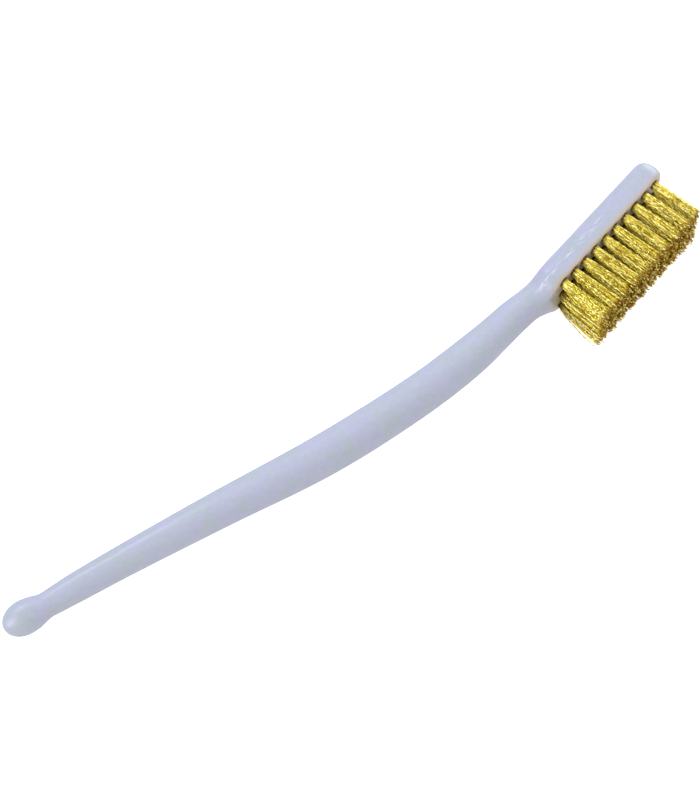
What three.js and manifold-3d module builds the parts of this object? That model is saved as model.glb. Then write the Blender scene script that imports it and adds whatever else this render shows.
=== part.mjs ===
// Hand wire brush: a moulded nylon handle, three rows of crimped brass wire tufts folded into blind
// holes in its head, and the flat wire anchor that pins each tuft's fold.
// The brush lies on its side: +X runs from the neck to the toe of the head, the tufts point to -Y,
// and +Z is up. Millimetres. While the brush is made, x = 0 is the first column of tufts, y = 0 is
// the face of the head and z = 0 is the brush's plane of symmetry.
import * as THREE from "three";
import { mergeVertices } from "three/addons/utils/BufferGeometryUtils.js";
import Module from "manifold-3d";

// Tuft grid on the face of the head, heel to toe and side to side.
const COLUMNS = 10;
const COLUMN_PITCH = 3.9;
const ROW_PITCH = 4.8;
const ROWS = [
  { name: "upper", z: ROW_PITCH, lean: -0.2 },
  { name: "middle", z: 0, lean: 0 },
  { name: "lower", z: -ROW_PITCH, lean: 0.2 },
];

// Head block: its back is parallel to its tuft face, and its toe end closes in a rounded nose.
const HEAD_THICKNESS = 7.0;
const HEAD_WIDTH = 13.6;
const HEAD_BACK_CORNER = 0.96;
const HEAD_FACE_CORNER = 0.17;
const NOSE_X = (COLUMNS - 1) * COLUMN_PITCH + 1.2;
const NOSE_LENGTH = 4.2;
const NOSE_POWER = 2.1;

// Knob on the end of the tail: an egg whose blunt end is the brush's end. Its two half lengths are
// measured along the handle from its widest place, and fillet is how far it takes to join the tail.
const KNOB = { x: -140.6, radius: 3.9, toEnd: 5.15, toTail: 6.8, fillet: 3, blend: 12 };
const KNOB_END_ANGLE = 0.12; // where the skin's end fan closes the knob
const KNOB_SIDE = 5.6; // how far along x the knob and its fillet reach towards the head

// Where the handle's even taper ends and the neck begins.
const NECK_X = -26;

// Section of the head, in the terms of the stations below.
const HEAD = {
  y: HEAD_THICKNESS / 2,
  high: HEAD_THICKNESS / 2,
  wide: HEAD_WIDTH / 2,
  back: HEAD_BACK_CORNER,
  face: HEAD_FACE_CORNER,
};

// Stations along the handle from tail to head: y is the middle of the section, high and wide are
// its half sizes, and back and face are its corner radii as shares of the smaller half size.
const ROUND = 0.98;
const STATIONS = [
  { x: -147, y: 42.3, high: 2.9, wide: 2.9, back: ROUND, face: ROUND },
  { x: KNOB.x, y: 40.45, high: 2.9, wide: 2.9, back: ROUND, face: ROUND },
  { x: -136, y: 38.95, high: 2.9, wide: 2.8, back: ROUND, face: ROUND },
  { x: -130, y: 37.15, high: 3.25, wide: 3.25, back: ROUND, face: ROUND },
  { x: -118, y: 33.3, high: 3.6, wide: 3.6, back: ROUND, face: ROUND },
  { x: -93.5, y: 24.75, high: 4.25, wide: 4.25, back: ROUND, face: ROUND },
  { x: -68, y: 15.5, high: 4.85, wide: 4.85, back: ROUND, face: ROUND },
  { x: -40, y: 8.2, high: 4.8, wide: 4.8, back: ROUND, face: ROUND },
  { x: NECK_X, y: 6.0, high: 4.6, wide: 4.6, back: ROUND, face: ROUND },
  { x: -19, y: 5.4, high: 4.25, wide: 4.3, back: ROUND, face: ROUND },
  { x: -12, y: 4.85, high: 3.95, wide: 4.1, back: ROUND, face: ROUND },
  { x: -7.8, y: 4.3, high: 3.7, wide: 4.0, back: ROUND, face: 0.9 },
  { x: -4.2, y: 3.75, high: 3.6, wide: 4.75, back: 0.97, face: 0.5 },
  { ...HEAD, x: -1.6, wide: HEAD.wide - 0.34, face: 0.26 },
  { ...HEAD, x: 1.4 },
];

// Tuft holes, and the wire tufts and anchors set in them.
const HOLE_RADIUS = 1.3;
const HOLE_DEPTH = 4.4;
const HOLE_SIDES = 14;
const SEAT_GAP = 0.15;
const TRIM = 13;
const TIP_HALF_LENGTH = 1.8;
const TIP_HALF_WIDTH = 2.0;
const HEEL_LEAN = -1.3;
const TOE_LEAN = -0.8;
const FOLD = 0.6; // depth of the bundle under its anchor
const FOLD_ROUNDING = { depth: 0.35, share: 0.7 }; // how the bottom of the bundle closes in
const BULGE = { at: 0.45, swell: 1.4, lean: 0.4 }; // the tuft partway between its hole and its tips
const TUFT_SIDES = 12;
const ANCHOR = { length: 3.1, height: 1.4, thickness: 0.3, chamfer: 0.3 };
const ANCHOR_GAP = 0.1;
const ANCHOR_SKEW = Math.PI / 4;

const nylon = new THREE.MeshStandardMaterial({ color: 0xc3c8dc, roughness: 0.35, metalness: 0 });
const brass = new THREE.MeshStandardMaterial({ color: 0xd8c24a, roughness: 0.4, metalness: 1 });
const steel = new THREE.MeshStandardMaterial({ color: 0xa8a8a4, roughness: 0.45, metalness: 1 });

const wasm = await Module();
wasm.setup();

// ---- solids ----

// A closed geometry as a solid that can be cut and joined.
function toSolid(geometry) {
  const bare = geometry.clone();
  bare.deleteAttribute("normal");
  bare.deleteAttribute("uv");
  const merged = mergeVertices(bare, 1e-4);
  return new wasm.Manifold(
    new wasm.Mesh({
      numProp: 3,
      vertProperties: merged.attributes.position.array,
      triVerts: new Uint32Array(merged.index.array),
    }),
  );
}

function toGeometry(solid) {
  const mesh = solid.getMesh();
  const geometry = new THREE.BufferGeometry();
  geometry.setAttribute("position", new THREE.BufferAttribute(mesh.vertProperties, 3));
  geometry.setIndex(new THREE.BufferAttribute(mesh.triVerts, 1));
  return geometry;
}

// A closed skin over rings of equal point counts, with a fan over each end. Each ring turns
// counter-clockwise as seen from the side of the last ring.
function loft(rings) {
  const count = rings[0].length;
  const last = (rings.length - 1) * count;
  const points = rings.flat();
  const faces = [];
  for (let first = 0; first < last; first += count) {
    for (let i = 0; i < count; i++) {
      const a = first + i;
      const b = first + ((i + 1) % count);
      faces.push(a, b, b + count, a, b + count, a + count);
    }
  }
  const startHub = points.push(middleOf(rings[0])) - 1;
  const endHub = points.push(middleOf(rings.at(-1))) - 1;
  for (let i = 0; i < count; i++) {
    const next = (i + 1) % count;
    faces.push(startHub, next, i, endHub, last + i, last + next);
  }
  const geometry = new THREE.BufferGeometry().setFromPoints(points);
  geometry.setIndex(faces);
  return geometry;
}

function middleOf(ring) {
  const sum = new THREE.Vector3();
  ring.forEach((point) => sum.add(point));
  return sum.divideScalar(ring.length);
}

// ---- handle ----

const KEYS = ["y", "high", "wide", "back", "face"];
const spline = new THREE.CubicInterpolant(
  STATIONS.map((station) => station.x),
  STATIONS.flatMap((station) => KEYS.map((key) => station[key])),
  KEYS.length,
);
const SLOPE_STEP = 0.05;
const knobSlope = (splineAt(KNOB.x + SLOPE_STEP).y - splineAt(KNOB.x).y) / SLOPE_STEP;
const knobStretch = Math.hypot(1, knobSlope); // length along the handle for each unit of x

function splineAt(x) {
  const row = spline.evaluate(x);
  return Object.fromEntries(KEYS.map((key, i) => [key, row[i]]));
}

// The section at x, with the knob and the nose worked into it.
function sectionAt(x) {
  const section = splineAt(Math.min(x, STATIONS.at(-1).x));
  const along = (x - KNOB.x) * knobStretch;
  if (along < KNOB.toTail) {
    const share = along / (along < 0 ? KNOB.toEnd : KNOB.toTail);
    const egg = KNOB.radius * Math.sqrt(Math.max(1 - share ** 2, 0));
    const tail = section.high * THREE.MathUtils.smoothstep(along, 0, KNOB.fillet);
    section.high = (egg ** KNOB.blend + tail ** KNOB.blend) ** (1 / KNOB.blend);
    section.wide = section.high;
  }
  if (x > NOSE_X) {
    const out = (x - NOSE_X) / NOSE_LENGTH;
    const share = (1 - out ** NOSE_POWER) ** (1 / NOSE_POWER);
    section.high *= share;
    section.wide *= share;
    section.face += (section.back - section.face) * out;
  }
  return section;
}

// One ring of the handle: a rounded rectangle square to the handle's middle line.
const ARC_STEPS = 7;
function handleRing(x) {
  const { y, high, wide, back, face } = sectionAt(x);
  const slope = (sectionAt(x + SLOPE_STEP).y - sectionAt(x - SLOPE_STEP).y) / (2 * SLOPE_STEP);
  const up = new THREE.Vector3(-slope, 1, 0).normalize();
  const corners = [
    { v: 1, w: 1, radius: back * Math.min(high, wide) },
    { v: -1, w: 1, radius: face * Math.min(high, wide) },
    { v: -1, w: -1, radius: face * Math.min(high, wide) },
    { v: 1, w: -1, radius: back * Math.min(high, wide) },
  ];
  return corners.flatMap(({ v, w, radius }, corner) =>
    Array.from({ length: ARC_STEPS + 1 }, (_, i) => {
      const angle = (corner + i / ARC_STEPS) * (Math.PI / 2);
      const rise = v * (high - radius) + radius * Math.cos(angle);
      const across = w * (wide - radius) + radius * Math.sin(angle);
      return new THREE.Vector3(x, y, across).addScaledVector(up, rise);
    }),
  );
}

// Values from one end up to but not including the other.
function spread(from, to, count) {
  return Array.from({ length: count }, (_, i) => from + ((to - from) * i) / count);
}

function handleSolid() {
  const knobEnd = spread(KNOB_END_ANGLE, Math.PI / 2, 8).map(
    (angle) => KNOB.x - (KNOB.toEnd * Math.cos(angle)) / knobStretch,
  );
  const knobSide = spread(KNOB.x, KNOB.x + KNOB_SIDE, 9);
  const tail = spread(KNOB.x + KNOB_SIDE, NECK_X, 43);
  const neck = spread(NECK_X, STATIONS.at(-1).x, 20);
  const nose = spread(0, Math.PI / 2, 7).map((angle) => NOSE_X + NOSE_LENGTH * Math.sin(angle));
  const places = [...knobEnd, ...knobSide, ...tail, ...neck, STATIONS.at(-1).x, ...nose];
  let solid = toSolid(loft(places.map(handleRing)));
  for (const { x, z } of seats()) {
    solid = solid.subtract(toSolid(holeTool().translate(x, 0, z)));
    solid = solid.subtract(toSolid(slitTool().translate(x, 0, z)));
  }
  return solid;
}

// ---- tufts and anchors ----

// Every hole of the grid, row by row from heel to toe.
function seats() {
  return ROWS.flatMap((row) =>
    Array.from({ length: COLUMNS }, (_, column) => ({
      label: row.name + "_" + String(column + 1).padStart(2, "0"),
      x: column * COLUMN_PITCH,
      z: row.z,
      leanX: THREE.MathUtils.lerp(HEEL_LEAN, TOE_LEAN, Math.sqrt(column / (COLUMNS - 1))),
      leanZ: row.lean,
    })),
  );
}

const OPEN_END = 1; // how far the cutting tools stand out of the face
const anchorDeep = HOLE_DEPTH - SEAT_GAP - FOLD; // the edge of the anchor that presses on the fold

function holeTool() {
  const length = HOLE_DEPTH + OPEN_END;
  const tool = new THREE.CylinderGeometry(HOLE_RADIUS, HOLE_RADIUS, length, HOLE_SIDES);
  return tool.translate(0, HOLE_DEPTH - length / 2, 0);
}

// The cut that an anchor's two ends leave in the nylon beside the hole.
function slitTool() {
  const depth = anchorDeep + OPEN_END + ANCHOR_GAP;
  const tool = new THREE.BoxGeometry(
    ANCHOR.length + 2 * ANCHOR_GAP,
    depth,
    ANCHOR.thickness + 2 * ANCHOR_GAP,
  );
  return tool.translate(0, anchorDeep + ANCHOR_GAP - depth / 2, 0).rotateY(ANCHOR_SKEW);
}

// A bundle of wires folded round its anchor, spreading from its hole to its cut tips.
function tuftSolid({ leanX, leanZ }) {
  const root = HOLE_RADIUS - SEAT_GAP;
  const bottom = HOLE_DEPTH - SEAT_GAP;
  const folded = root * FOLD_ROUNDING.share;
  const bulge = root * BULGE.swell;
  const levels = [
    { y: bottom, long: folded, wide: folded, out: 0 },
    { y: bottom - FOLD_ROUNDING.depth, long: root, wide: root, out: 0 },
    { y: 0, long: root, wide: root, out: 0 },
    { y: -TRIM * BULGE.at, long: bulge, wide: bulge, out: BULGE.lean },
    { y: -TRIM, long: TIP_HALF_LENGTH, wide: TIP_HALF_WIDTH, out: 1 },
  ];
  const rings = levels.map(({ y, long, wide, out }) =>
    Array.from({ length: TUFT_SIDES }, (_, i) => {
      const angle = ((i + 0.5) / TUFT_SIDES) * 2 * Math.PI;
      return new THREE.Vector3(
        out * leanX + long * Math.cos(angle),
        y,
        out * leanZ + wide * Math.sin(angle),
      );
    }),
  );
  const window = new THREE.BoxGeometry(
    2 * HOLE_RADIUS + 1,
    ANCHOR.height + 2 * ANCHOR_GAP,
    ANCHOR.thickness + 2 * ANCHOR_GAP,
  );
  window.translate(0, anchorDeep - ANCHOR.height / 2, 0).rotateY(ANCHOR_SKEW);
  return toSolid(loft(rings)).subtract(toSolid(window));
}

// A flat slip of wire, chamfered at the edge that is driven into the hole.
function anchorGeometry() {
  const { length, height, thickness, chamfer } = ANCHOR;
  const outline = new THREE.Shape([
    new THREE.Vector2(-length / 2, 0),
    new THREE.Vector2(length / 2, 0),
    new THREE.Vector2(length / 2, height - chamfer),
    new THREE.Vector2(length / 2 - chamfer, height),
    new THREE.Vector2(-length / 2 + chamfer, height),
    new THREE.Vector2(-length / 2, height - chamfer),
  ]);
  const slip = new THREE.ExtrudeGeometry(outline, { depth: thickness, bevelEnabled: false });
  return slip.translate(0, anchorDeep - height, -thickness / 2).rotateY(ANCHOR_SKEW);
}

// ---- assembly ----

const brush = new THREE.Group();

function place(name, geometry, material, { x = 0, z = 0 } = {}) {
  const mesh = new THREE.Mesh(geometry, material);
  mesh.name = name;
  mesh.position.set(x, 0, z);
  brush.add(mesh);
}

place("handle", toGeometry(handleSolid()), nylon);
for (const seat of seats()) {
  place("tuft_" + seat.label, toGeometry(tuftSolid(seat)), brass, seat);
}
// The model stops at sixty pieces, so the last hole's anchor is not modelled.
for (const seat of seats().slice(0, -1)) {
  place("anchor_" + seat.label, anchorGeometry(), steel, seat);
}

// The origin is the middle of the space the brush takes up on the surface it lies on.
const box = new THREE.Box3().setFromObject(brush);
const middle = box.getCenter(new THREE.Vector3());
brush.position.set(-middle.x, -middle.y, -box.min.z);

export default brush;
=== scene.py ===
"""Looks of a small brass wire brush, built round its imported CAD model: the moulded nylon handle with
its fine surface, every tuft as folded crimped wires, the anchors that hold them, the floor, the
lights and the camera. Metres, in the CAD model's own frame: the brush lies on its side, the head
runs along +X, the wires point to -Y and +Z is up."""
import math

import bpy
import numpy as np
from mathutils import Matrix, Vector, noise


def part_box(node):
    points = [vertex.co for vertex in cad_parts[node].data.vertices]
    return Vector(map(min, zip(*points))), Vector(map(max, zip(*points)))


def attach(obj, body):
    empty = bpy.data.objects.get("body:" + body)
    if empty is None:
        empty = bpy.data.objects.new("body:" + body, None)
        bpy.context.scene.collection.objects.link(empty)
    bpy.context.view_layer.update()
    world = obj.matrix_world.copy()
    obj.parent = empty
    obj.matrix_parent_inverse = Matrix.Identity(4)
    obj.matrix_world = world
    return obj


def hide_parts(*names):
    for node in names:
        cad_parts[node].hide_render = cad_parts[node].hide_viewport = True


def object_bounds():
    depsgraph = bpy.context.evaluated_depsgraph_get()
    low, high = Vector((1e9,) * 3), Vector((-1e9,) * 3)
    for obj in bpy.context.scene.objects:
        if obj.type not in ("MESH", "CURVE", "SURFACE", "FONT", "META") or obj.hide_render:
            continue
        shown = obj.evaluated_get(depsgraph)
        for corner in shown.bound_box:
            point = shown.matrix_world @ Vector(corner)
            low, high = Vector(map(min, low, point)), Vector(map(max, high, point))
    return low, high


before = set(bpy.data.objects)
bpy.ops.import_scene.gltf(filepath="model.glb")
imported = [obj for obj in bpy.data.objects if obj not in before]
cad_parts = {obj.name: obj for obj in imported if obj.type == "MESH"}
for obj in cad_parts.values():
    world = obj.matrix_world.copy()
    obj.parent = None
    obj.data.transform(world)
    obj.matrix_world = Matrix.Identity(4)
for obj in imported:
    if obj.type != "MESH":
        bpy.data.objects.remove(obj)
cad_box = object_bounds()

MM = 0.001
SEED = 20240611

# Head. Its measures are read from the frame.
ROWS = ("upper", "middle", "lower")
COLUMNS = 10
HANDLE_LOW, HANDLE_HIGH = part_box("handle")
FACE_Y = HANDLE_LOW.y
MID_Z = (HANDLE_LOW.z + HANDLE_HIGH.z) / 2
FIRST_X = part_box("anchor_upper_01")[0].x
LAST_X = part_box("anchor_upper_10")[1].x
FIELD_X = (FIRST_X + LAST_X) / 2
FIELD_HALF = (LAST_X - FIRST_X) / 2
HEAD_X = FIRST_X - 3 * MM  # where the head begins
TAIL_X = HEAD_X - 93 * MM  # where the glossier tail begins

# Where the surfaces change.
HEAD_FADE = 3 * MM  # over this before HEAD_X the grip's looks turn to the head's
TAIL_FADE = 6 * MM  # either side of TAIL_X the skin gets glossier
ROOT_SHADE_FADE = (0.2 * MM, 1.5 * MM)  # from the bristle face: over this the painted shade and brass reflection round the tuft roots fade
ROOT_SHADE_BEYOND = 0.4  # how much a distance past the field's ends counts, next to one from the face
HIGHLIGHT_LINE = 3.3 * MM  # from the bristle face: where the painted highlight dashes run along the head's side
HIGHLIGHT_FADE = (0.3 * MM, 0.8 * MM)  # from the line of painted highlight dashes
HIGHLIGHT_END = 6 * MM  # past the field's middle, towards the toe, where the last painted highlight dashes are
SEAM_FADE = (0.05 * MM, 0.14 * MM)  # from the handle's middle plane
TARNISH_AND_LIFT_FADE = (1 * MM, 4 * MM)  # from the bristle face: over this the wires get more tarnished; nearer the roots they are kept lighter as painted light in the shade between the tufts
TIP_SHADE_FADE = (12.3 * MM, 13.3 * MM)  # from the bristle face: over this most wires turn brown, painted shade of the cut ends

# Handle surface.
VOXEL = 0.305 * MM
SMOOTH_PASSES = 60
EDGE_PASSES = 3
PULL = 0.5
PUSH = -0.52
SWELL = 0.02 * MM  # how far the whole surface is moved out, apart from the waves
WAVES = ((9 * MM, 0.03 * MM), (3.5 * MM, 0.010 * MM))  # length and height of the mould's unevenness
RIM_WIDTH = 0.7 * MM  # round a hole: the surface here keeps the edges of the CAD solid
RIM_DEPTH = 5 * MM

# Wires.
WIRE_RADIUS = 0.1 * MM
WIRES_PER_TUFT = 36
WIRE_SIDES = 4
CRIMP_LENGTH = 1.9 * MM
CRIMP_HEIGHT = 0.12 * MM
CRIMP_LENGTHS = (0.85, 1.15)  # from wire to wire, as shares
CRIMP_HEIGHTS = (0.6, 1.4)
CRIMP_RISE = 6  # the crimps are at full height from a sixth of the way up a leg
LEG_STEPS = 38
SPOT_SCATTER = 0.03
TIP_SCATTER = 0.3 * MM
TRIM_SCATTER = 0.24 * MM
FAN = {"upper": 0.68, "middle": 0.35, "lower": 0.68}  # below 1 a row spreads most near its holes
FLOOR_GAP = 0.1 * MM  # between the floor and the lowest wires
HEEL_SPLAY = {"upper": 0.2 * MM, "middle": 0.3 * MM, "lower": 0.6 * MM}  # of the heel column's wires
NOSE_TRIM = 0.9 * MM  # how much shorter the foremost wires are
NOSE_BACK = 0.4 * NOSE_TRIM  # how far back their ends are
TIP_REACH = 0.35 * MM  # how far past the end of their tuft's solid the wires reach, on average
STRAYS = {"lower_01": np.array([[-0.6, 1.6, 0.3], [-0.4, 1.2, 0], [-0.2, 0.6, 0.6]]) * MM}
ANCHOR_SKEW = math.pi / 4

# The fold of a wire round its anchor: how far across the hole and how deep, from leg to leg.
FOLD = ((1, 0.45), (0.9, 0.8), (0.6, 0.97), (0, 1.0), (-0.6, 0.97), (-0.9, 0.8), (-1, 0.45))
FOLD_GAP = 0.35 * MM  # from the innermost wires' turn to the deep end of the tuft's solid
FOLD_NEST = 0.3  # the other wires turn deeper, by this share of their distance from the anchor
FOLD_ALONG = 0.85  # how much of the hole the folds take up, along the anchor and across it
FOLD_ACROSS = 0.9
LEAST_ACROSS = 0.05
BESIDE_ANCHOR = 0.12 * MM

# Colours.
NYLON_GREY = (0.306, 0.350, 0.398)
NYLON_BLUE = (0.325, 0.337, 0.463)
NYLON_DEEP = (0.348, 0.351, 0.486)
NYLON_MILKY = (0.300, 0.331, 0.385)
# painted shade and brass reflection on the face round the tuft roots
ROOT_SHADE = (0.42, 0.30, 0.17)
# painted highlight: the pale colour of the dashes on the head's side
HIGHLIGHT_DASH = (0.50, 0.52, 0.62)
BRASS_TONES = (
    (0.0, (0.56, 0.43, 0.04)),
    (0.2, (0.86, 0.74, 0.14)),
    (0.5, (0.99, 0.88, 0.25)),
    (1.0, (1.0, 0.93, 0.40)),
)
BRASS_CLUMP = (0.40, 0.28, 0.01)
BRASS_TARNISH = (0.36, 0.25, 0.0)
# painted shade: the brown of the cut wire ends
BRASS_TIP_SHADE = (0.27, 0.13, 0.0)
BRASS_EDGE = (1.0, 0.98, 0.9)
STEEL_TONES = ((0.3, (0.34, 0.33, 0.31)), (0.7, (0.58, 0.57, 0.55)))
FLOOR_TONES = ((0.3, (0.68, 0.68, 0.69)), (0.7, (0.71, 0.71, 0.72)))
WHITE = (1, 1, 1)

# Camera. The aim is off the middle of the CAD box along X and Y.
AIM_OFFSET = (-1.21 * MM, 4.5 * MM)
AZIMUTH = math.radians(-47.03)
ELEVATION = math.radians(61.84)
ROLL = math.radians(3.08)
DISTANCE = 506.5 * MM
LENS_MM = 113.14
SENSOR_MM = 36
CLIP_START = 0.01

# Studio. A softbox has its direction from the brush, distance, two sizes, watts and colour.
FLOOR_HALF = 3.0
FLOOR_GLOW = 0.7
ROOM_FRONT = (0, -0.95, 0.3)  # where the room is brightest
BRIGHT = (1.42, 1.40, 1.32)
DIM = (0.82, 0.83, 0.94)
SOFTBOXES = {
    "key": ((0.14, 0.67, 0.73), 0.9, (0.5, 0.04), 1.4, WHITE),
    "left": ((-0.85, 0.33, 0.42), 1.0, (0.5, 0.9), 5.2, WHITE),
    "right": ((0.88, 0.33, 0.34), 1.0, (0.5, 0.8), 4.8, (0.91, 0.98, 1.05)),
}


# ---- meshes ----

def mesh_object(name, vertices, faces):
    """A smooth object from vertices and faces that all have the same number of corners."""
    mesh = bpy.data.meshes.new(name)
    count, corners = faces.shape
    mesh.vertices.add(len(vertices))
    mesh.vertices.foreach_set("co", np.asarray(vertices, np.float32).ravel())
    mesh.loops.add(count * corners)
    mesh.loops.foreach_set("vertex_index", np.asarray(faces, np.int32).ravel())
    mesh.polygons.add(count)
    mesh.polygons.foreach_set("loop_start", np.arange(count, dtype=np.int32) * corners)
    mesh.polygons.foreach_set("use_smooth", np.ones(count, bool))
    mesh.update(calc_edges=True)
    mesh.validate()
    return scene_object(name, mesh)


def scene_object(name, data):
    """An object in the scene with this mesh, light or camera."""
    obj = bpy.data.objects.new(name, data)
    bpy.context.scene.collection.objects.link(obj)
    return obj


def points_of(obj):
    points = np.empty(len(obj.data.vertices) * 3, np.float32)
    obj.data.vertices.foreach_get("co", points)
    return points.reshape(-1, 3).astype(float)


def normals_of(obj):
    normals = np.empty(len(obj.data.vertices) * 3, np.float32)
    obj.data.vertices.foreach_get("normal", normals)
    return normals.reshape(-1, 3).astype(float)


def write_points(obj, points):
    obj.data.vertices.foreach_set("co", points.astype(np.float32).ravel())
    obj.data.update()


def apply_modifiers(obj):
    """Turns the object's modifiers into its mesh."""
    bpy.context.view_layer.update()
    evaluated = obj.evaluated_get(bpy.context.evaluated_depsgraph_get())
    made = bpy.data.meshes.new_from_object(evaluated)
    obj.modifiers.clear()
    old = obj.data
    obj.data = made
    bpy.data.meshes.remove(old)
    made.name = obj.name


# ---- material helpers ----

class Nodes:
    """A material's node tree, with short ways to add to it."""

    def __init__(self, name):
        self.material = bpy.data.materials.new(name)
        self.material.use_nodes = True
        self.tree = self.material.node_tree
        self.shader = next(n for n in self.tree.nodes if n.type == "BSDF_PRINCIPLED")
        self.position = self.add("ShaderNodeTexCoord").outputs["Object"]

    def add(self, kind, **settings):
        node = self.tree.nodes.new(kind)
        for key, value in settings.items():
            setattr(node, key, value)
        return node

    def link(self, source, target):
        self.tree.links.new(source, target)

    def fill(self, socket, value):
        """Links a socket to another one, or sets it to a number, vector or colour."""
        if isinstance(value, bpy.types.NodeSocket):
            self.link(value, socket)
        elif socket.type == "RGBA":
            socket.default_value = (*value, 1)
        else:
            socket.default_value = value

    def math(self, operation, *values):
        node = self.add("ShaderNodeMath", operation=operation)
        for socket, value in zip(node.inputs, values):
            self.fill(socket, value)
        return node.outputs[0]

    def stretched(self, scale):
        node = self.add("ShaderNodeVectorMath", operation="MULTIPLY")
        self.link(self.position, node.inputs[0])
        node.inputs[1].default_value = scale
        return node.outputs[0]

    def noise(self, scale, detail=2.0, vector=None, roughness=0.5):
        """Soft noise, with about as many patches to the metre as the scale says."""
        node = self.add("ShaderNodeTexNoise")
        node.inputs["Scale"].default_value = scale
        node.inputs["Detail"].default_value = detail
        node.inputs["Roughness"].default_value = roughness
        self.link(self.position if vector is None else vector, node.inputs["Vector"])
        return node.outputs["Fac"]

    def ramp(self, factor, stops):
        """A colour ramp from (place, colour) stops."""
        node = self.add("ShaderNodeValToRGB")
        elements = node.color_ramp.elements
        while len(elements) < len(stops):
            elements.new(0.5)
        for element, (place, colour) in zip(elements, stops):
            element.position = place
            element.color = (*colour, 1)
        self.link(factor, node.inputs["Fac"])
        return node.outputs["Color"]

    def remap(self, value, low, high, to_low, to_high):
        node = self.add("ShaderNodeMapRange")
        for socket, number in zip(node.inputs, (value, low, high, to_low, to_high)):
            self.fill(socket, number)
        return node.outputs[0]

    def mix(self, factor, first, second):
        node = self.add("ShaderNodeMix", data_type="RGBA")
        self.fill(node.inputs["Factor"], factor)
        self.fill(node.inputs["A"], first)
        self.fill(node.inputs["B"], second)
        return node.outputs["Result"]

    def bump(self, height, strength, distance, below=None):
        node = self.add("ShaderNodeBump")
        node.inputs["Strength"].default_value = strength
        node.inputs["Distance"].default_value = distance
        self.link(height, node.inputs["Height"])
        if below is not None:
            self.link(below, node.inputs["Normal"])
        return node.outputs["Normal"]

    def axis(self, name):
        node = self.add("ShaderNodeSeparateXYZ")
        self.link(self.position, node.inputs[0])
        return node.outputs[name]

    def set(self, **values):
        for key, value in values.items():
            self.fill(self.shader.inputs[key.replace("_", " ")], value)


# ---- materials ----

def field_shade_and_reflection(nodes, from_face, depth):
    """How much painted shade and painted brass reflection the head's face gets round the tuft roots:
    most between the tufts, less round the field.
    """
    off_middle = nodes.math("ABSOLUTE", nodes.math("SUBTRACT", nodes.axis("X"), FIELD_X))
    past_end = nodes.math("SUBTRACT", off_middle, FIELD_HALF)
    beyond = nodes.math("MULTIPLY", past_end, ROOT_SHADE_BEYOND)
    away = nodes.math("MAXIMUM", from_face, beyond)
    painted_shade = nodes.remap(away, *ROOT_SHADE_FADE, 0.75, 0.0)
    return nodes.math("MULTIPLY", painted_shade, nodes.remap(depth, 0.3, 0.6, 0.6, 1.0))


def side_highlight_dashes(nodes, from_face, in_head):
    """Painted highlight: pale dashes in a line along the sides of the head, over the half next to the
    neck.
    """
    patches = nodes.noise(1, vector=nodes.stretched((300, 1500, 1500)))
    dashes = nodes.math("MULTIPLY", nodes.remap(patches, 0.52, 0.60, 0.0, 0.75), in_head)
    off_line = nodes.math("ABSOLUTE", nodes.math("SUBTRACT", from_face, HIGHLIGHT_LINE))
    dashes = nodes.math("MULTIPLY", nodes.remap(off_line, *HIGHLIGHT_FADE, 1.0, 0.0), dashes)
    near_neck = nodes.remap(nodes.axis("X"), FIELD_X, FIELD_X + HIGHLIGHT_END, 1.0, 0.0)
    return nodes.math("MULTIPLY", near_neck, dashes)


def nylon_skin(nodes, flow):
    """The surface's fine grain, its slow unevenness and the parting line round the middle."""
    grain = nodes.noise(1600)
    off_middle = nodes.math("ABSOLUTE", nodes.math("SUBTRACT", nodes.axis("Z"), MID_Z))
    seam = nodes.remap(off_middle, *SEAM_FADE, 1.0, 0.0)
    skin = nodes.bump(grain, 0.06, 0.04 * MM)
    skin = nodes.bump(flow, 0.07, 0.1 * MM, skin)
    return nodes.bump(seam, 0.5, 0.05 * MM, skin)


def nylon_material():
    """Milky natural nylon: a cloudy body with painted shade and brass reflection round the tuft roots
    and painted highlight dashes on the head's side, in a glossy skin that is duller on the grip."""
    nodes = Nodes("nylon")
    clouds = nodes.noise(230)
    depth = nodes.noise(700, roughness=0.6)
    milk = nodes.noise(1100, roughness=0.6)
    from_face = nodes.math("SUBTRACT", nodes.axis("Y"), FACE_Y)
    in_head = nodes.remap(nodes.axis("X"), HEAD_X - HEAD_FADE, HEAD_X, 0.0, 1.0)
    colour = nodes.mix(nodes.remap(clouds, 0.38, 0.62, 0.0, 1.0), NYLON_GREY, NYLON_BLUE)
    colour = nodes.mix(nodes.remap(depth, 0.42, 0.64, 0.0, 0.55), colour, NYLON_DEEP)
    colour = nodes.mix(nodes.remap(milk, 0.48, 0.66, 0.0, 0.5), colour, NYLON_MILKY)
    # painted shade and brass reflection round the tuft roots
    colour = nodes.mix(field_shade_and_reflection(nodes, from_face, depth), colour, ROOT_SHADE)
    # painted highlight dashes along the head's side
    colour = nodes.mix(side_highlight_dashes(nodes, from_face, in_head), colour, HIGHLIGHT_DASH)
    flow = nodes.noise(300, detail=1)
    past_tail = nodes.remap(nodes.axis("X"), TAIL_X - TAIL_FADE, TAIL_X + TAIL_FADE, 0.0, 1.0)
    dull = nodes.math("MULTIPLY", nodes.math("SUBTRACT", past_tail, in_head), 0.2)
    roughness = nodes.math("ADD", nodes.remap(flow, 0.3, 0.7, 0.28, 0.36), dull)
    nodes.set(Base_Color=colour, Roughness=roughness, Normal=nylon_skin(nodes, flow), IOR=1.53)
    nodes.set(Subsurface_Weight=0.4, Subsurface_Radius=(1.0, 1.05, 1.25))
    nodes.set(Subsurface_Scale=1.6 * MM)
    return nodes.material


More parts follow.
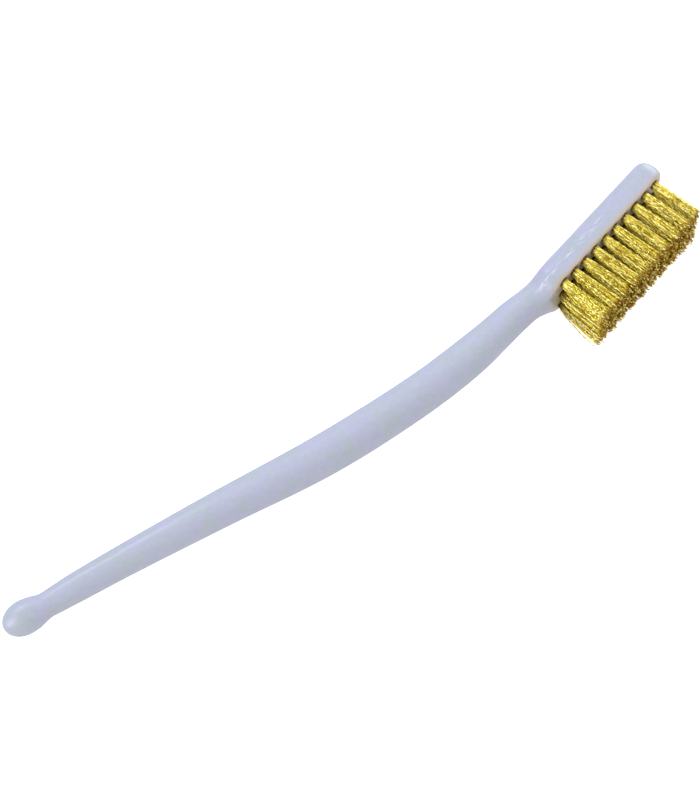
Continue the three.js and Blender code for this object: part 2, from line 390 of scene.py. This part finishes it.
def brass_material():
    """Drawn and crimped brass wire: each wire its own tone, in duller clumps and blotched with
    tarnish away from its root, kept lighter near the root as painted light in the shade between
    the tufts, and most wires darkened brown at their cut tips as painted shade."""
    nodes = Nodes("brass_wire")
    own = nodes.add("ShaderNodeNewGeometry").outputs["Random Per Island"]
    from_face = nodes.math("SUBTRACT", FACE_Y, nodes.axis("Y"))
    # tarnish that grows away from the root; its lack near the root is partly painted light in the
    # shade between the tufts
    tarnish_and_lift = nodes.remap(from_face, *TARNISH_AND_LIFT_FADE, 0.3, 1.0)
    clumps = nodes.noise(1, vector=nodes.stretched((2600, 330, 2600)))
    clumps = nodes.math("MULTIPLY", nodes.remap(clumps, 0.53, 0.61, 0.0, 0.9), tarnish_and_lift)
    tarnish = nodes.noise(1700)
    tarnish = nodes.math("MULTIPLY", nodes.remap(tarnish, 0.52, 0.64, 0.0, 0.8), tarnish_and_lift)
    # painted shade: most wires darken brown towards their cut tips
    tip = nodes.remap(from_face, *TIP_SHADE_FADE, 0.0, 1.0)
    tip = nodes.math("MULTIPLY", tip, nodes.remap(own, 0.45, 0.75, 1.0, 0.1))
    tone = nodes.ramp(own, BRASS_TONES)
    tone = nodes.mix(clumps, tone, BRASS_CLUMP)
    tone = nodes.mix(tarnish, tone, BRASS_TARNISH)
    tone = nodes.mix(tip, tone, BRASS_TIP_SHADE)
    lines = nodes.noise(1, detail=1, vector=nodes.stretched((9000, 600, 9000)))
    roughness = nodes.remap(nodes.math("ADD", own, lines), 0.4, 1.6, 0.12, 0.28)
    nodes.set(Base_Color=tone, Roughness=roughness, Normal=nodes.bump(lines, 0.2, 0.02 * MM))
    nodes.set(Metallic=1.0, Specular_Tint=BRASS_EDGE)
    return nodes.material


def anchor_material():
    """Rolled steel slip, brushed along its length."""
    nodes = Nodes("anchor_wire")
    streaks = nodes.noise(1, detail=3, vector=nodes.stretched((800, 6000, 800)))
    colour = nodes.ramp(streaks, STEEL_TONES)
    roughness = nodes.remap(streaks, 0.3, 0.7, 0.3, 0.5)
    nodes.set(Base_Color=colour, Roughness=roughness, Normal=nodes.bump(streaks, 0.3, 0.02 * MM))
    nodes.set(Metallic=1.0)
    return nodes.material


def floor_material():
    """White acrylic of a light table, which glows a little and so hardly shows a shadow."""
    nodes = Nodes("floor")
    nodes.set(Base_Color=nodes.ramp(nodes.noise(6), FLOOR_TONES), Roughness=0.9)
    nodes.set(Emission_Color=WHITE, Emission_Strength=FLOOR_GLOW)
    return nodes.material


# ---- handle ----

def seat_of(row, column):
    """Where a tuft sits, from its CAD solid: its middle and half sizes at the face and at the cut."""
    label = f"{row}_{column:02d}"
    points = points_of(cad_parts["tuft_" + label])
    tolerance = 0.02 * MM
    deep = points[points[:, 1] > points[:, 1].max() - tolerance]
    cut = points[points[:, 1] < points[:, 1].min() + tolerance]
    at_face = points[np.abs(points[:, 1] - FACE_Y) < tolerance]
    return {
        "label": label,
        "row": row,
        "column": column,
        "root": (at_face.max(0) + at_face.min(0)) / 2,
        "root_size": np.ptp(at_face, axis=0).max() / 2,
        "deep_y": deep[:, 1].mean(),
        "tip": (cut.max(0) + cut.min(0)) / 2,
        "tip_size": np.ptp(cut, axis=0) / 2,
    }


def even_out(obj, weights, passes):
    """Evens out the mesh where the weights are high: each pass pulls every point to the middle of
    its neighbours and then pushes it back, so that the shape keeps its size."""
    points = points_of(obj)
    count = len(points)
    edges = np.empty(len(obj.data.edges) * 2, np.int32)
    obj.data.edges.foreach_get("vertices", edges)
    one, other = edges.reshape(-1, 2).T
    neighbours = np.bincount(edges, minlength=count)
    for _ in range(passes):
        for pull in (PULL, PUSH):
            middle = np.empty_like(points)
            for axis in range(3):
                total = np.bincount(one, points[other, axis], count)
                total += np.bincount(other, points[one, axis], count)
                middle[:, axis] = total / neighbours
            points += pull * weights[:, None] * (middle - points)
    write_points(obj, points)


def hole_rims(points, seats):
    """Which of the points are in a tuft hole or on its rim."""
    beside = np.full(len(points), np.inf)
    for seat in seats:
        away = np.hypot(points[:, 0] - seat["root"][0], points[:, 2] - seat["root"][2])
        beside = np.minimum(beside, away)
    near_hole = beside < seats[0]["root_size"] + RIM_WIDTH
    return near_hole & (points[:, 1] - FACE_Y < RIM_DEPTH)


def moulded_handle(seats):
    """The handle's solid with its facets evened out, and the slight waves that a mould leaves."""
    handle = scene_object("handle_moulding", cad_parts["handle"].data.copy())
    remesh = handle.modifiers.new("fine", "REMESH")
    remesh.mode = "VOXEL"
    remesh.voxel_size = VOXEL
    apply_modifiers(handle)

    rims = hole_rims(points_of(handle), seats)
    even_out(handle, np.where(rims, 0.0, 1.0), SMOOTH_PASSES)
    even_out(handle, np.ones(len(rims)), EDGE_PASSES)

    points = points_of(handle)
    normals = normals_of(handle)
    lift = np.full(len(points), SWELL)
    for length, height in WAVES:
        lift += height * np.array([noise.noise(Vector(point) / length) for point in points])
    lift[rims] = 0
    handle.data.polygons.foreach_set("use_smooth", np.ones(len(handle.data.polygons), bool))
    points = points + normals * lift[:, None]
    points[:, 2] = np.maximum(points[:, 2], cad_box[0][2])  # it lies on the floor
    write_points(handle, points)
    return handle


# ---- wires ----

def half_disc(count, rng):
    """Even places over the half disc where across > 0, as (along, across) from -1 to 1."""
    golden_turn = math.pi * (3 - math.sqrt(5))
    index = np.arange(2 * count) + 0.5
    radius = np.sqrt(index / (2 * count))
    angle = index * golden_turn
    spots = np.stack([radius * np.cos(angle), radius * np.sin(angle)], 1)
    spots = spots[np.argsort(-spots[:, 1], kind="stable")][:count]
    return spots + rng.normal(0, SPOT_SCATTER, spots.shape)


def tubes(paths, side):
    """A closed tube along each path. paths is (tubes, steps, 3), and side is about square to them."""
    count, steps, _ = paths.shape
    along = np.gradient(paths, axis=1)
    along /= np.linalg.norm(along, axis=2, keepdims=True)
    first = side - along * (along @ side)[..., None]
    first /= np.linalg.norm(first, axis=2, keepdims=True)
    second = np.cross(along, first)
    rings = []
    for corner in range(WIRE_SIDES):
        angle = 2 * math.pi * (corner + 0.5) / WIRE_SIDES
        rings.append(paths + WIRE_RADIUS * (math.cos(angle) * first + math.sin(angle) * second))
    vertices = np.stack(rings, 2).reshape(-1, 3)
    corner = np.arange(WIRE_SIDES)
    onward = (corner + 1) % WIRE_SIDES
    quad = np.stack([corner, onward, onward + WIRE_SIDES, corner + WIRE_SIDES], 1)
    step = np.arange(steps - 1)[:, None, None] * WIRE_SIDES
    tube = (quad[None] + step).reshape(-1, 4)
    ends = np.array([corner[::-1], (steps - 1) * WIRE_SIDES + corner])
    tube = np.concatenate([tube, ends])
    start = np.arange(count)[:, None, None] * steps * WIRE_SIDES
    return vertices, (tube[None] + start).reshape(-1, 4)


def wire_tips(seat, flat, rng, strays):
    """Cut ends of a tuft's wires: scattered, splayed in the heel column and trimmed at the nose."""
    scatter = rng.normal(0, TIP_SCATTER, (len(flat), 3)) * (1, 0, 1)
    tips = seat["tip"] + (flat * seat["tip_size"] + scatter)
    if seat["column"] == 1:
        heelward = np.clip((seat["tip"][0] - tips[:, 0]) / seat["tip_size"][0], 0, 1)
        tips[:, 0] -= HEEL_SPLAY[seat["row"]] * heelward
    tips[:, 1] = seat["tip"][1] - TIP_REACH + rng.normal(0, TRIM_SCATTER, len(flat))
    if seat["column"] == COLUMNS:
        noseward = np.clip((tips[:, 0] - seat["tip"][0]) / seat["tip_size"][0], 0, 1)
        tips[:, 0] -= NOSE_BACK * noseward ** 2
        tips[:, 1] += NOSE_TRIM * noseward ** 2
    for wire, out in zip(np.argsort(tips[:, 0]), strays):
        tips[wire] += out
    return tips


def crimps(paths, share, rng):
    """How far each wire's crimps take it off its path, each with its own direction and wave."""
    count = len(paths)
    phase = rng.uniform(0, 2 * math.pi, count)[:, None]
    length = CRIMP_LENGTH * rng.uniform(*CRIMP_LENGTHS, count)[:, None]
    height = CRIMP_HEIGHT * rng.uniform(*CRIMP_HEIGHTS, count)[:, None]
    heading = rng.uniform(0, 2 * math.pi, count)
    wave = np.sin((FACE_Y - paths[..., 1]) / length * 2 * math.pi + phase)
    fade = np.clip(share * CRIMP_RISE, 0, 1)
    way = np.stack([np.cos(heading), np.zeros(count), np.sin(heading)], 1)
    return way[:, None] * (wave * height * fade)[..., None]


def leg(seat, flat, rng, strays=()):
    """One end of every folded wire, from its cut tip down to the mouth of the hole."""
    root = seat["root"] + flat * (seat["root_size"] - WIRE_RADIUS)
    tips = wire_tips(seat, flat, rng, strays)
    root[:, 1] = FACE_Y
    share = np.linspace(1, 0, LEG_STEPS)[None, :]
    fan = share ** FAN[seat["row"]]
    paths = root[:, None] + (tips - root)[:, None] * np.stack([fan, share, fan], 2)
    return paths + crimps(paths, share, rng)


def folds(seat, spots, along, across):
    """The wires inside the hole: down one side of the anchor, round under it and up the other."""
    deepest = seat["deep_y"] - FOLD_GAP
    inner = np.clip(spots[:, 1], LEAST_ACROSS, 1) * seat["root_size"]
    bend = []
    for side, deep in FOLD:
        flat = seat["root"] + (spots[:, :1] * FOLD_ALONG * seat["root_size"]) * along
        aside = inner * side * FOLD_ACROSS + np.sign(side) * BESIDE_ANCHOR
        flat = flat + aside[:, None] * across
        nested = inner * FOLD_NEST if abs(side) < 1 else 0
        flat[:, 1] = FACE_Y + (deepest - FACE_Y) * deep + nested
        bend.append(flat)
    return np.stack(bend, 1)


def tuft_wires(seat, rng, strays=()):
    """Every wire of a tuft: up one leg, round under the anchor, and back out along the other."""
    along = np.array([math.cos(ANCHOR_SKEW), 0, -math.sin(ANCHOR_SKEW)])
    across = np.array([math.sin(ANCHOR_SKEW), 0, math.cos(ANCHOR_SKEW)])
    spots = half_disc(WIRES_PER_TUFT, rng)
    down = leg(seat, spots[:, :1] * along + spots[:, 1:] * across, rng)
    up = leg(seat, spots[:, :1] * along - spots[:, 1:] * across, rng, strays)[:, ::-1]
    paths = np.concatenate([down, folds(seat, spots, along, across), up], 1)
    paths[..., 2] = np.maximum(paths[..., 2], FLOOR_GAP + WIRE_RADIUS)
    vertices, faces = tubes(paths, along)
    return mesh_object("wires_" + seat["label"], vertices, faces)


def last_anchor(seat, pattern):
    """The anchor of a hole that has none in the frame, copied from one that has."""
    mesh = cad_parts["anchor_" + pattern["label"]].data.copy()
    mesh.transform(Matrix.Translation(Vector(seat["root"] - pattern["root"])))
    return scene_object("anchor_" + seat["label"], mesh)


# ---- stage ----

def view_axes():
    """Right, up and back of a camera that looks down at the brush."""
    back = Vector((
        math.sin(AZIMUTH) * math.cos(ELEVATION),
        -math.cos(AZIMUTH) * math.cos(ELEVATION),
        math.sin(ELEVATION),
    ))
    right = Vector((math.cos(AZIMUTH), math.sin(AZIMUTH), 0))
    up = back.cross(right)
    turn = Matrix.Rotation(-ROLL, 3, back)
    return turn @ right, turn @ up, back


def add_camera(aim):
    right, up, back = view_axes()
    data = bpy.data.cameras.new("camera")
    data.sensor_fit = "HORIZONTAL"
    data.sensor_width = SENSOR_MM
    data.lens = LENS_MM
    data.clip_start = CLIP_START
    camera = scene_object("camera", data)
    turn = Matrix((right, up, back)).transposed().to_4x4()
    camera.matrix_world = Matrix.Translation(aim + back * DISTANCE) @ turn
    bpy.context.scene.camera = camera


def add_softbox(name, aim, direction, distance, size, power, colour):
    data = bpy.data.lights.new(name, "AREA")
    data.shape = "RECTANGLE"
    data.size, data.size_y = size
    data.energy = power
    data.color = colour
    light = scene_object(name, data)
    direction = Vector(direction).normalized()
    light.location = aim + direction * distance
    light.rotation_euler = direction.to_track_quat("Z", "Y").to_euler()


def add_floor():
    corners = [(x * FLOOR_HALF, y * FLOOR_HALF, 0) for x, y in ((-1, -1), (1, -1), (1, 1), (-1, 1))]
    floor = mesh_object("floor", np.array(corners), np.array([[0, 1, 2, 3]]))
    floor.data.materials.append(floor_material())
    # Its glow neither lights the brush nor shows in it.
    floor.visible_diffuse = False
    floor.visible_glossy = False


def light_room():
    """A room that is brightest where the wires point. The camera itself sees its walls as white."""
    world = bpy.data.worlds.new("studio")
    world.use_nodes = True
    tree = world.node_tree
    background = tree.nodes["Background"]
    place = tree.nodes.new("ShaderNodeTexCoord")
    towards = tree.nodes.new("ShaderNodeVectorMath")
    towards.operation = "DOT_PRODUCT"
    towards.inputs[1].default_value = Vector(ROOM_FRONT).normalized()
    fade = tree.nodes.new("ShaderNodeMapRange")
    fade.inputs["From Min"].default_value = -1
    fade.inputs["From Max"].default_value = 1
    colour = tree.nodes.new("ShaderNodeMix")
    colour.data_type = "RGBA"
    colour.inputs["A"].default_value = (*DIM, 1)
    colour.inputs["B"].default_value = (*BRIGHT, 1)
    path = tree.nodes.new("ShaderNodeLightPath")
    seen = tree.nodes.new("ShaderNodeMix")
    seen.data_type = "RGBA"
    seen.inputs["B"].default_value = (*WHITE, 1)
    tree.links.new(place.outputs["Generated"], towards.inputs[0])
    tree.links.new(towards.outputs["Value"], fade.inputs["Value"])
    tree.links.new(fade.outputs["Result"], colour.inputs["Factor"])
    tree.links.new(colour.outputs["Result"], seen.inputs["A"])
    tree.links.new(path.outputs["Is Camera Ray"], seen.inputs["Factor"])
    tree.links.new(seen.outputs["Result"], background.inputs["Color"])
    bpy.context.scene.world = world
    bpy.context.scene.view_settings.view_transform = "Standard"


def set_stage():
    middle = (cad_box[0] + cad_box[1]) / 2
    aim = Vector((middle.x + AIM_OFFSET[0], middle.y + AIM_OFFSET[1], MID_Z))
    add_camera(aim)
    add_floor()
    light_room()
    for name, settings in SOFTBOXES.items():
        add_softbox(name, aim, *settings)


# ---- the brush ----

def adopt(piece, material, slot, *nodes):
    """Gives a new piece its material and body, and hides the nodes it stands for; slot is not used."""
    piece.data.materials.clear()
    piece.data.materials.append(material)
    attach(piece, "root")
    if nodes:
        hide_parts(*nodes)


def build_brush():
    seats = [seat_of(row, column) for row in ROWS for column in range(1, COLUMNS + 1)]
    adopt(moulded_handle(seats), nylon_material(), "nylon", "handle")

    brass = brass_material()
    rng = np.random.default_rng(SEED)
    for seat in seats:
        wires = tuft_wires(seat, rng, STRAYS.get(seat["label"], ()))
        adopt(wires, brass, "brass_wire", "tuft_" + seat["label"])

    steel = anchor_material()
    for name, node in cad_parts.items():
        if name.startswith("anchor_"):
            node.data.materials.clear()
            node.data.materials.append(steel)
    adopt(last_anchor(seats[-1], seats[-2]), steel, "anchor_wire")


set_stage()
build_brush()
